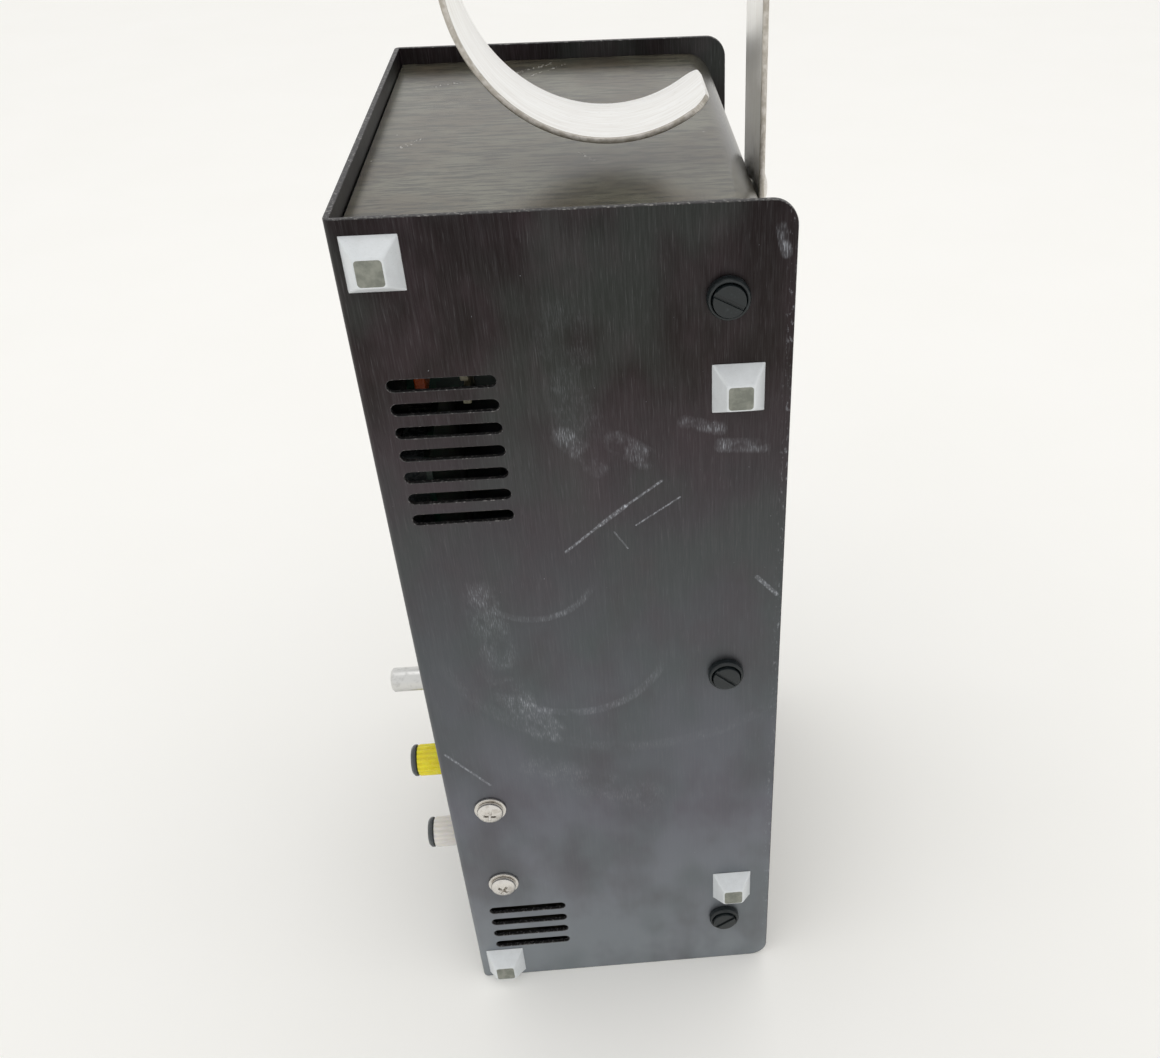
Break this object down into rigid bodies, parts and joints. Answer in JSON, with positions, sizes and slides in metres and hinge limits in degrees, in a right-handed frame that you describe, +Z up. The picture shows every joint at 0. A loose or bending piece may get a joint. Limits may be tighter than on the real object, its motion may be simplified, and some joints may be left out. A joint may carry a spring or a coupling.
{
  "type": "syringe pump",
  "caption": "Syringe pump in a black sheet-metal case, with a pusher and cradle on its control face and a strip hook for hanging.",
  "frame": {"origin": "middle of the footprint of the whole box, on the surface that the lower end stands on", "axes": "+Z up along the case to the hook; the plate with the bumper feet faces -Y; the control face with the knobs, cradle and pusher faces -X; the back with the mains inlet and the hook's riser faces +X"},
  "size_m": [0.124, 0.1552, 0.3492],
  "materials": {
    "black_anodised": "brushed along the case and anodised black, scuffed",
    "cover_anodised": "brushed across the ends and anodised black",
    "bare_aluminium": "bright, brushed along the strip",
    "stainless": "bright turned stainless steel",
    "zinc_sheet": "zinc-plated sheet",
    "bumper": "translucent grey-white polyurethane",
    "black_plastic": "satin black moulding",
    "yellow_plastic": "translucent yellow",
    "white_plastic": "white moulding",
    "grey_plastic": "dark grey moulding",
    "smoked_window": "smoked clear pane",
    "board_green": "green solder mask",
    "orange_part": "dipped orange",
    "beige_part": "beige moulding",
    "brass": "machined brass",
    "motor_black": "black lacquer",
    "laminations": "varnished steel laminations"
  },
  "bodies": {
    "case": {"outer_shell": "black_anodised", "inner_cover": "cover_anodised", "foot_1": "bumper", "foot_2": "bumper", "foot_3": "bumper", "foot_4": "bumper", "rivet_ring_1": "black_plastic", "rivet_ring_2": "black_plastic", "rivet_ring_3": "black_plastic", "rivet_pin_1": "black_plastic", "rivet_pin_2": "black_plastic", "rivet_pin_3": "black_plastic", "far_rivet_1": "black_plastic", "far_rivet_2": "black_plastic", "far_rivet_3": "black_plastic", "bracket_washer_1": "stainless", "bracket_washer_2": "stainless", "bracket_screw_1": "stainless", "bracket_screw_2": "stainless", "hanger_hook": "bare_aluminium", "hook_screw_1": "stainless", "hook_screw_2": "stainless", "volume_control": "zinc_sheet", "rate_control": "zinc_sheet", "selector_control": "zinc_sheet", "display_window": "smoked_window", "display_module": "grey_plastic", "panel_board": "board_green", "motor_bracket": "zinc_sheet", "top_bracket": "zinc_sheet", "drive_motor": "motor_black", "guide_rod_1": "stainless", "guide_rod_2": "stainless", "syringe_cradle": "white_plastic", "supply_board": "board_green", "board_bracket": "zinc_sheet", "orange_capacitor": "orange_part", "board_connector": "beige_part", "transformer": "laminations", "power_inlet": "black_plastic", "clamp_spring": "stainless"},
    "drive_screw": {"lead_screw": "stainless", "screw_gear": "white_plastic"},
    "motor_rotor": {"motor_pinion": "brass"},
    "carriage": {"carriage": "bare_aluminium", "pusher_block": "black_plastic"},
    "release": {"release_button": "grey_plastic"},
    "clamp_rod": {"clamp_rod": "stainless"},
    "clamp_bar": {"clamp_bar": "black_plastic"},
    "volume_knob": {"volume_knob": "white_plastic", "volume_knob_cap": "grey_plastic", "volume_shaft": "stainless"},
    "rate_knob": {"rate_knob": "yellow_plastic", "rate_knob_cap": "grey_plastic", "rate_shaft": "stainless"},
    "selector_knob": {"selector_knob": "bare_aluminium"},
    "key_1": {"key_1": "grey_plastic"},
    "key_2": {"key_2": "grey_plastic"},
    "key_3": {"key_3": "grey_plastic"},
    "power_rocker": {"power_rocker": "grey_plastic"}
  },
  "joints": [
    {"name": "screw_spin", "type": "hinge", "parent": "case", "child": "drive_screw", "pos_m": [-0.006, 0.03115, 0.17], "axis": [0, 0, 1], "range_deg": [0, 7650.5]},
    {"name": "motor_spin", "type": "hinge", "parent": "case", "child": "motor_rotor", "pos_m": [0.014, 0.03115, 0.1], "axis": [0, 0, 1], "range_deg": [-12750.5, 0]},
    {"name": "carriage_slide", "type": "slide", "parent": "case", "child": "carriage", "axis": [0, 0, -1], "range_m": [0, 0.085]},
    {"name": "release_press", "type": "slide", "parent": "carriage", "child": "release", "axis": [1, 0, 0], "range_m": [0, 0.0025], "stiffness_N_per_m": 300, "springref_m": -0.002},
    {"name": "clamp_pull", "type": "slide", "parent": "case", "child": "clamp_rod", "axis": [-1, 0, 0], "range_m": [0, 0.012], "stiffness_N_per_m": 250, "springref_m": -0.006, "deforming": ["clamp_spring"]},
    {"name": "clamp_swing", "type": "hinge", "parent": "clamp_rod", "child": "clamp_bar", "pos_m": [-0.058, 0.05215, 0.06], "axis": [1, 0, 0], "range_deg": [0, 90]},
    {"name": "volume_turn", "type": "hinge", "parent": "case", "child": "volume_knob", "pos_m": [-0.048, -0.04185, 0.0452], "axis": [-1, 0, 0], "range_deg": [0, 300]},
    {"name": "rate_turn", "type": "hinge", "parent": "case", "child": "rate_knob", "pos_m": [-0.048, -0.04185, 0.0815], "axis": [-1, 0, 0], "range_deg": [0, 300]},
    {"name": "selector_turn", "type": "hinge", "parent": "case", "child": "selector_knob", "pos_m": [-0.048, -0.04185, 0.1178], "axis": [-1, 0, 0], "range_deg": [0, 120]},
    {"name": "key_1_press", "type": "slide", "parent": "case", "child": "key_1", "axis": [1, 0, 0], "range_m": [0, 0.001], "stiffness_N_per_m": 400, "springref_m": -0.0008},
    {"name": "key_2_press", "type": "slide", "parent": "case", "child": "key_2", "axis": [1, 0, 0], "range_m": [0, 0.001], "stiffness_N_per_m": 400, "springref_m": -0.0008},
    {"name": "key_3_press", "type": "slide", "parent": "case", "child": "key_3", "axis": [1, 0, 0], "range_m": [0, 0.001], "stiffness_N_per_m": 400, "springref_m": -0.0008},
    {"name": "rocker_tilt", "type": "hinge", "parent": "case", "child": "power_rocker", "pos_m": [0.0565, 0.00165, 0.03], "axis": [0, 0, -1], "range_deg": [0, 16]}
  ],
  "couplings": [
    {"joint": "screw_spin", "follows": "carriage_slide", "rad_per_m": 1570.8},
    {"joint": "motor_spin", "follows": "carriage_slide", "rad_per_m": -2618}
  ]
}
